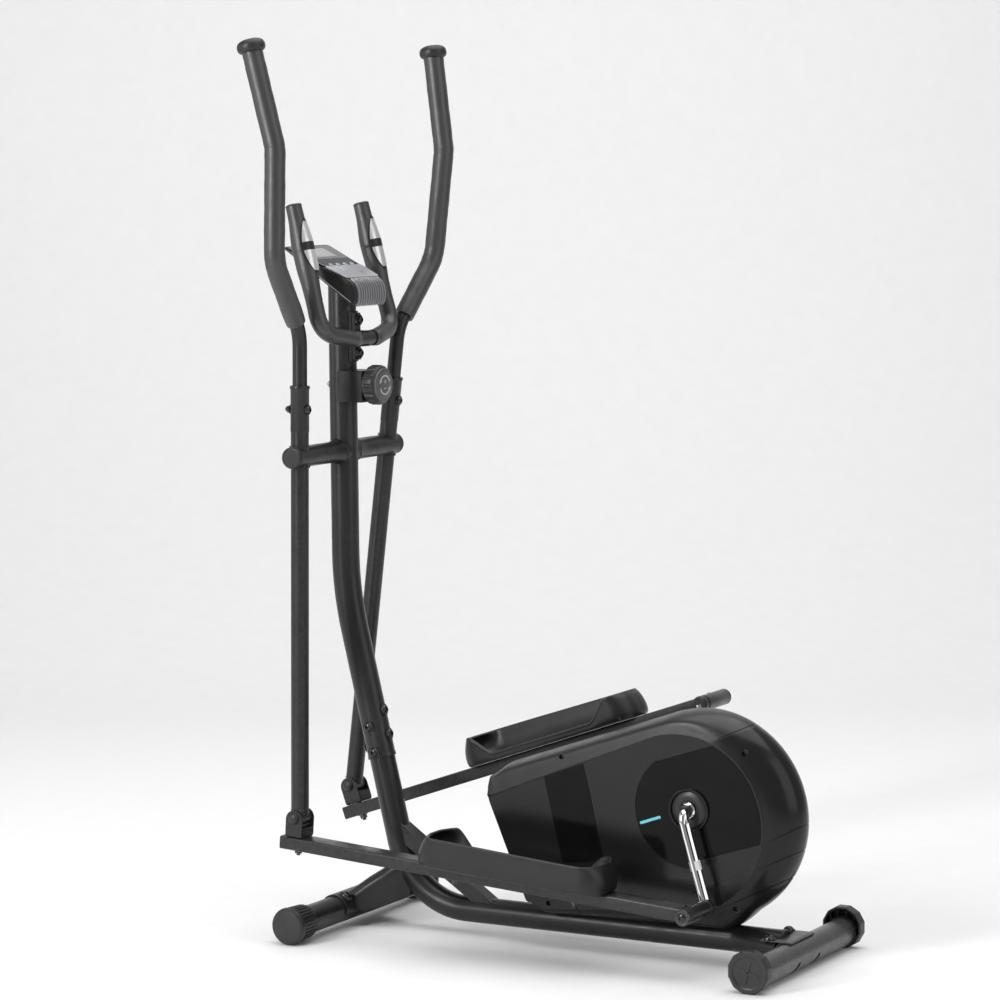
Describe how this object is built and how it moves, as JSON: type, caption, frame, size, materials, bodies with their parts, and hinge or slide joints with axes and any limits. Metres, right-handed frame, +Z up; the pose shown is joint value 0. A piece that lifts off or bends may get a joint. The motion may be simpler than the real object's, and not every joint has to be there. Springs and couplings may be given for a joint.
{
  "type": "elliptical trainer",
  "caption": "Home elliptical trainer with swinging arm levers, foot trays on pedal bars, a crank in a rounded housing, fixed grips and a small console on a bent mast.",
  "frame": {"origin": "on the floor, under the middle of the machine's bounding box", "axes": "+Z up, +X to the rear of the machine where the crank housing is, -X to the console end, +Y to the user's right when the user stands on the trays and faces the console"},
  "size_m": [1.0296, 0.5372, 1.5929],
  "materials": {
    "black_paint": "satin black powder coat",
    "matte_plastic": "matte, finely grained",
    "gloss_plastic": "glossy",
    "console_silver": "silver lacquer",
    "display_lens": "light grey clear-faced panel",
    "foam": "closed-cell foam, matte",
    "rubber": "matte",
    "chrome": "polished plating",
    "steel": "zinc plated",
    "black_steel": "black oxide",
    "cast_iron": "cast, turned rim"
  },
  "bodies": {
    "frame": {"console_body": "matte_plastic", "console_display": "display_lens", "crank_bearing_left": "steel", "crank_bearing_right": "steel", "drive_belt": "rubber", "fixed_handlebar": "black_paint", "flywheel_axle": "steel", "front_stabilizer": "black_paint", "handlebar_grip_left": "foam", "handlebar_grip_right": "foam", "housing_left": "matte_plastic", "housing_right": "matte_plastic", "hub_cover_left": "gloss_plastic", "hub_cover_right": "gloss_plastic", "left_pivot_cap": "matte_plastic", "main_frame": "black_paint", "mast": "black_paint", "pivot_axle": "steel", "pulse_sensor_left": "chrome", "pulse_sensor_right": "chrome", "rear_stabilizer": "black_paint", "right_pivot_cap": "matte_plastic", "tension_box": "matte_plastic"},
    "crank_assembly": {"crank": "chrome", "drive_pulley": "matte_plastic"},
    "flywheel_wheel": {"flywheel": "cast_iron"},
    "brake": {"brake_bracket": "steel"},
    "knob": {"tension_knob": "matte_plastic"},
    "left_arm": {"left_lower_arm": "black_paint", "left_upper_arm": "black_paint", "left_arm_grip": "foam", "left_arm_cap": "matte_plastic", "left_arm_bolt": "steel", "left_pivot_bushing": "matte_plastic"},
    "left_bar": {"left_pedal_bar": "black_paint", "left_bar_bracket": "black_steel", "left_lower_pivot_bolt": "steel", "left_bracket_bolt": "steel", "left_pin_bolt": "chrome", "left_foot_tray": "matte_plastic"},
    "left_front_wheel": {"transport_wheel_left": "matte_plastic"},
    "left_rear_foot": {"rear_leveller_left": "matte_plastic"},
    "right_arm": {"right_lower_arm": "black_paint", "right_upper_arm": "black_paint", "right_arm_grip": "foam", "right_arm_cap": "matte_plastic", "right_arm_bolt": "steel", "right_pivot_bushing": "matte_plastic"},
    "right_bar": {"right_pedal_bar": "black_paint", "right_bar_bracket": "black_steel", "right_lower_pivot_bolt": "steel", "right_bracket_bolt": "steel", "right_pin_bolt": "chrome", "right_foot_tray": "matte_plastic"},
    "right_front_wheel": {"transport_wheel_right": "matte_plastic"},
    "right_rear_foot": {"rear_leveller_right": "matte_plastic"},
    "button_1": {"console_button_1": "console_silver"},
    "button_2": {"console_button_2": "console_silver"},
    "button_3": {"console_button_3": "console_silver"},
    "button_4": {"console_button_4": "console_silver"}
  },
  "joints": [
    {"name": "flywheel_turn", "type": "hinge", "parent": "frame", "child": "flywheel_wheel", "pos_m": [0.0635, 0, 0.21], "axis": [0, 1, 0], "continuous": true},
    {"name": "crank_turn", "type": "hinge", "parent": "frame", "child": "crank_assembly", "pos_m": [0.303, 0, 0.2705], "axis": [0, 1, 0], "continuous": true},
    {"name": "left_arm_swing", "type": "hinge", "parent": "frame", "child": "left_arm", "pos_m": [-0.4145, 0, 0.8595], "axis": [0, 1, 0], "range_deg": [-10, 16]},
    {"name": "right_arm_swing", "type": "hinge", "parent": "frame", "child": "right_arm", "pos_m": [-0.4145, 0, 0.8595], "axis": [0, 1, 0], "range_deg": [-16, 10]},
    {"name": "left_bar_pivot", "type": "hinge", "parent": "left_arm", "child": "left_bar", "pos_m": [-0.42612, -0.149, 0.2132], "axis": [0, 1, 0], "range_deg": [-16, 10]},
    {"name": "right_bar_pivot", "type": "hinge", "parent": "right_arm", "child": "right_bar", "pos_m": [-0.49652, 0.149, 0.21832], "axis": [0, 1, 0], "range_deg": [-10, 16]},
    {"name": "brake_bracket_swing", "type": "hinge", "parent": "frame", "child": "brake", "pos_m": [0.13443, 0, 0.28877], "axis": [0, -1, 0], "range_deg": [0, 2.5]},
    {"name": "tension_knob_turn", "type": "hinge", "parent": "frame", "child": "knob", "pos_m": [-0.3575, 0, 0.98], "axis": [1, 0, 0], "range_deg": [0, 300]},
    {"name": "button_1_press", "type": "slide", "parent": "frame", "child": "button_1", "axis": [-0.4194, 0, -0.9078], "range_m": [0, 0.001], "stiffness_N_per_m": 400, "springref_m": -0.0008},
    {"name": "button_2_press", "type": "slide", "parent": "frame", "child": "button_2", "axis": [-0.4194, 0, -0.9078], "range_m": [0, 0.001], "stiffness_N_per_m": 400, "springref_m": -0.0008},
    {"name": "button_3_press", "type": "slide", "parent": "frame", "child": "button_3", "axis": [-0.4194, 0, -0.9078], "range_m": [0, 0.001], "stiffness_N_per_m": 400, "springref_m": -0.0008},
    {"name": "button_4_press", "type": "slide", "parent": "frame", "child": "button_4", "axis": [-0.4194, 0, -0.9078], "range_m": [0, 0.001], "stiffness_N_per_m": 400, "springref_m": -0.0008},
    {"name": "left_front_wheel_turn", "type": "hinge", "parent": "frame", "child": "left_front_wheel", "pos_m": [-0.399, -0.21, 0.0335], "axis": [0, 1, 0], "continuous": true},
    {"name": "right_front_wheel_turn", "type": "hinge", "parent": "frame", "child": "right_front_wheel", "pos_m": [-0.399, 0.21, 0.0335], "axis": [0, 1, 0], "continuous": true},
    {"name": "left_rear_foot_turn", "type": "hinge", "parent": "frame", "child": "left_rear_foot", "pos_m": [0.4805, -0.1935, 0.0278], "axis": [0, 1, 0], "range_deg": [-60, 60]},
    {"name": "right_rear_foot_turn", "type": "hinge", "parent": "frame", "child": "right_rear_foot", "pos_m": [0.4805, 0.1935, 0.0278], "axis": [0, 1, 0], "range_deg": [-60, 60]}
  ],
  "couplings": [
    {"joint": "crank_turn", "follows": "flywheel_turn", "ratio": 0.2},
    {"joint": "right_arm_swing", "follows": "left_arm_swing", "ratio": -1},
    {"joint": "left_bar_pivot", "follows": "left_arm_swing", "ratio": -1},
    {"joint": "right_bar_pivot", "follows": "left_arm_swing", "ratio": 1},
    {"joint": "tension_knob_turn", "follows": "brake_bracket_swing", "ratio": 120}
  ]
}
